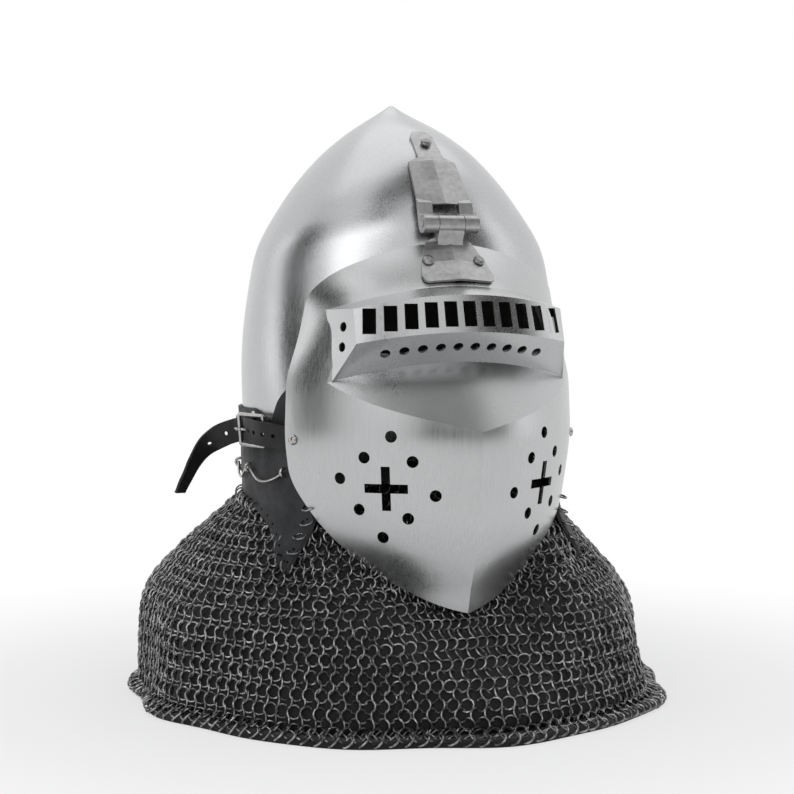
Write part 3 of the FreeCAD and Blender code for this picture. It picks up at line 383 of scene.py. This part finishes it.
def collar_links():
    """Rings that pass through the leather's edge: each stands square to the surface."""
    tree = tree_of("leather_collar")
    links = []
    for forward, height in LOWER_HOLES + FRONT_HOLES:
        for side in (-1, 1):
            start = Vector((side * 0.25, APEX_Y - forward / 1000, height / 1000))
            hit, normal, _, _ = tree.ray_cast(start, Vector((-side, 0, 0)), 0.25)
            if hit is None or hit.x * side < 0.02:
                continue
            if normal.x * side < 0:
                normal = -normal
            in_front = (forward, height) in FRONT_HOLES
            down = Vector((0, -1, -0.22)) if in_front else Vector((0, -0.25, -1))
            down = (down - normal * down.dot(normal)).normalized()
            spot = hit + down * 0.0036
            links.append((tuple(spot), tuple(normal.cross(down)), tuple(normal), 0.0))
    return links


def ring_place(places, spot, normal, up, row, inset=-0.0012):
    """Add one ring, leaning to one side in even rows and to the other in odd ones."""
    normal = normal.normalized()
    shake = rng.normal(0, 1, 4)
    tilt = math.radians((RING_LEAN if row % 2 else -RING_LEAN) + 6 * shake[0])
    spot = spot - normal * (inset + 0.00025 * shake[1])
    spot.z = max(spot.z, LOWEST_RING)
    lean = (up + Vector((0.06 * shake[2], 0.06 * shake[3], 0))).normalized()
    places.append((tuple(spot), tuple(normal), tuple(lean), tilt))


places = mail_places()
for part, first in enumerate(range(0, len(places), RINGS_PER_PIECE)):
    rings = ring_field("mail_rings_%d" % (part + 1), places[first : first + RINGS_PER_PIECE])
    rings.data.materials.append(FINISHES["mail_steel"])
    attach(rings, "helm")

# stage


def panel(name, colour, size, spot, aim):
    """Flat matt card that shows only in the steel."""
    bpy.ops.mesh.primitive_plane_add(size=1)
    card = bpy.context.object
    card.name = name
    card.scale = (size[0], size[1], 1)
    card.location = spot
    card.rotation_mode = "QUATERNION"
    card.rotation_quaternion = (Vector(aim) - Vector(spot)).to_track_quat("Z", "Y")
    card.visible_camera = False
    card.visible_shadow = False
    card.visible_diffuse = False
    paint = bpy.data.materials.new(name)
    paint.use_nodes = True
    shader = paint.node_tree.nodes["Principled BSDF"]
    shader.inputs["Base Color"].default_value = (*colour, 1)
    shader.inputs["Roughness"].default_value = 1.0
    shader.inputs["Specular IOR Level"].default_value = 0.0
    card.data.materials.append(paint)


def lamp(name, power, size, spot, aim=(0, 0, 0.25)):
    """Soft square lamp, turned toward the helmet."""
    data = bpy.data.lights.new(name, "AREA")
    data.shape = "RECTANGLE"
    data.size, data.size_y = size
    data.energy = power
    light = bpy.data.objects.new(name, data)
    light.location = spot
    light.rotation_mode = "QUATERNION"
    light.rotation_quaternion = (Vector(spot) - Vector(aim)).to_track_quat("Z", "Y")
    bpy.context.scene.collection.objects.link(light)


def seen_rays(tree):
    """1 for the camera's rays and for those that metal and glass send on, else 0."""
    path = tree.nodes.new("ShaderNodeLightPath")
    total = path.outputs["Is Camera Ray"]
    for name in ("Is Glossy Ray", "Is Transmission Ray"):
        most = tree.nodes.new("ShaderNodeMath")
        most.operation = "MAXIMUM"
        tree.links.new(total, most.inputs[0])
        tree.links.new(path.outputs[name], most.inputs[1])
        total = most.outputs[0]
    return total


def floor():
    """Pale table whose far parts run out into the white background."""
    bpy.ops.mesh.primitive_circle_add(vertices=96, radius=9, fill_type="NGON")
    ground = bpy.context.object
    ground.name = "floor"
    paint = bpy.data.materials.new("pale_table")
    paint.use_nodes = True
    tree = paint.node_tree
    shader = tree.nodes["Principled BSDF"]
    shader.inputs["Base Color"].default_value = (0.86, 0.86, 0.86, 1)
    shader.inputs["Roughness"].default_value = 0.9
    shader.inputs["Specular IOR Level"].default_value = 0.1
    glow = tree.nodes.new("ShaderNodeEmission")
    glow.inputs["Color"].default_value = (1, 1, 1, 1)
    place = tree.nodes.new("ShaderNodeTexCoord")
    reach = tree.nodes.new("ShaderNodeVectorMath")
    reach.operation = "LENGTH"
    fade = tree.nodes.new("ShaderNodeMapRange")
    fade.interpolation_type = "SMOOTHSTEP"
    for key, value in zip(REMAP_ENDS, (0.2, 0.62, 0.6, 1.0)):
        fade.inputs[key].default_value = value
    seen = tree.nodes.new("ShaderNodeMath")
    seen.operation = "MULTIPLY"
    mix = tree.nodes.new("ShaderNodeMixShader")
    link = tree.links.new
    link(place.outputs["Object"], reach.inputs[0])
    link(reach.outputs["Value"], fade.inputs["Value"])
    link(fade.outputs["Result"], seen.inputs[0])
    link(seen_rays(tree), seen.inputs[1])
    link(seen.outputs[0], mix.inputs["Fac"])
    link(shader.outputs[0], mix.inputs[1])
    link(glow.outputs[0], mix.inputs[2])
    link(mix.outputs[0], tree.nodes["Material Output"].inputs["Surface"])
    ground.data.materials.append(paint)


def sky():
    """White to the eye and in reflections, grey for the light that falls on matt parts."""
    world = bpy.data.worlds.new("studio")
    bpy.context.scene.world = world
    world.use_nodes = True
    tree = world.node_tree
    back = tree.nodes["Background"]
    shade = tree.nodes.new("ShaderNodeMix")
    shade.data_type = "RGBA"
    shade.inputs["A"].default_value = (0.5, 0.505, 0.51, 1)
    shade.inputs["B"].default_value = (1, 1, 1, 1)
    tree.links.new(seen_rays(tree), shade.inputs["Factor"])
    tree.links.new(shade.outputs["Result"], back.inputs["Color"])
    back.inputs["Strength"].default_value = 1.0


def camera():
    """The photograph's view: 22 degrees to the wearer's right, 3 degrees downward."""
    data = bpy.data.cameras.new("photo_view")
    data.sensor_width = 36.0
    data.lens = 83.88
    data.clip_start = 0.05
    data.clip_end = 60
    eye = bpy.data.objects.new("photo_view", data)
    eye.location = (-0.5112, APEX_Y - 1.2772, 0.2869)
    turn, dip = math.radians(22), math.radians(3)
    way = Vector((math.sin(turn) * math.cos(dip), math.cos(turn) * math.cos(dip), -math.sin(dip)))
    eye.rotation_mode = "QUATERNION"
    eye.rotation_quaternion = way.to_track_quat("-Z", "Y")
    bpy.context.scene.collection.objects.link(eye)
    bpy.context.scene.camera = eye


floor()
sky()
camera()
lamp("key", 11, (1.7, 1.5), (-1.3, -1.7, 1.5))
lamp("top", 5, (2.0, 2.0), (0.2, 0.2, 1.9))
lamp("side", 3, (1.0, 1.8), (1.9, -0.9, 0.8))
lamp("rear_left", 2, (0.7, 1.6), (-1.7, 0.8, 0.8))
dark = (0.02, 0.02, 0.02)
panel("dark_left", dark, (0.9, 2.6), (-1.7, 0.1, 0.7), (0, 0, 0.3))
panel("dark_right", dark, (1.2, 2.6), (1.3, -1.4, 0.7), (0, 0, 0.3))
panel("dark_front", dark, (0.5, 1.6), (-0.75, -1.9, 0.8), (0, 0, 0.3))
panel("dark_low", dark, (1.6, 0.7), (-0.2, -1.7, 0.02), (0, 0, 0.3))
panel("dark_top", dark, (1.4, 0.5), (0.1, -0.7, 1.6), (0, 0, 0.3))
bpy.context.scene.view_settings.view_transform = "Standard"
